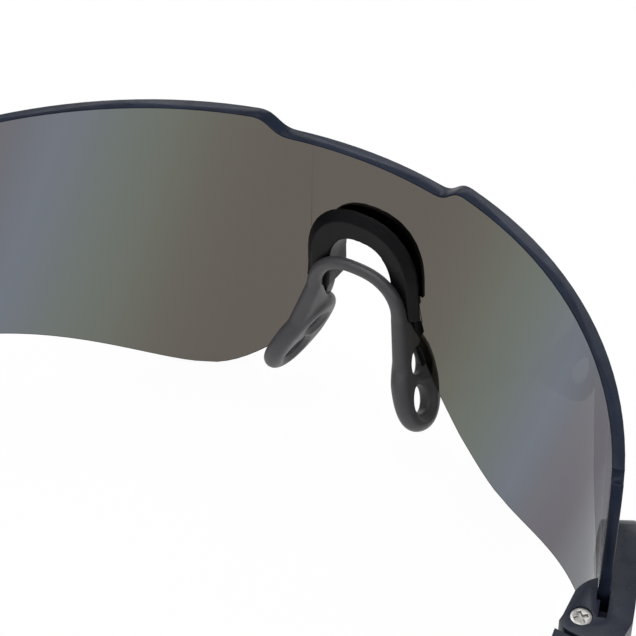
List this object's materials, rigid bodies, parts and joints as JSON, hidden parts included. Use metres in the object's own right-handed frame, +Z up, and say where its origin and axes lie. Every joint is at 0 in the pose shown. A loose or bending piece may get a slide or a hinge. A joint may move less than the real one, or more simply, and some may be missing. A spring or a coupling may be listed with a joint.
{
  "type": "frameless safety glasses",
  "caption": "Wraparound tinted shield lens with a clip-in nose bracket, soft nose saddle and folding temples.",
  "frame": {"origin": "centre of the bounding box's base, at the height of the lens's lowest points", "axes": "+Z up, the front looks along -Y, the wearer's right is -X"},
  "size_m": [0.1282, 0.159, 0.0524],
  "materials": {
    "tinted_lens": "clear smoke tint with a faint coating sheen",
    "black_nylon": "satin moulded",
    "soft_rubber": "matte",
    "dark_plastic": "satin blue-black",
    "soft_grip": "matte",
    "bright_screw": "bright, slightly worn",
    "brass_insert": "turned",
    "washer_steel": "stamped"
  },
  "bodies": {
    "front": {"shield_lens": "tinted_lens", "nose_bracket": "black_nylon", "nose_saddle": "soft_rubber", "end_piece_right": "dark_plastic", "end_piece_left": "dark_plastic", "lens_screw_right": "bright_screw", "lens_screw_left": "bright_screw", "lens_bush_right": "black_nylon", "lens_bush_left": "black_nylon", "hinge_screw_right": "bright_screw", "hinge_screw_left": "bright_screw", "hinge_insert_right": "brass_insert", "hinge_insert_left": "brass_insert", "washer_top_right": "washer_steel", "washer_top_left": "washer_steel", "washer_low_right": "washer_steel", "washer_low_left": "washer_steel"},
    "temple_right": {"temple_arm_right": "dark_plastic", "temple_grip_right": "soft_grip"},
    "temple_left": {"temple_arm_left": "dark_plastic", "temple_grip_left": "soft_grip"}
  },
  "joints": [
    {"name": "right_temple_fold", "type": "hinge", "parent": "front", "child": "temple_right", "pos_m": [-0.0583, -0.0333, 0.02725], "axis": [0, 0, -1], "range_deg": [0, 76]},
    {"name": "left_temple_fold", "type": "hinge", "parent": "front", "child": "temple_left", "pos_m": [0.0583, -0.0333, 0.02725], "axis": [0, 0, 1], "range_deg": [0, 90]}
  ]
}
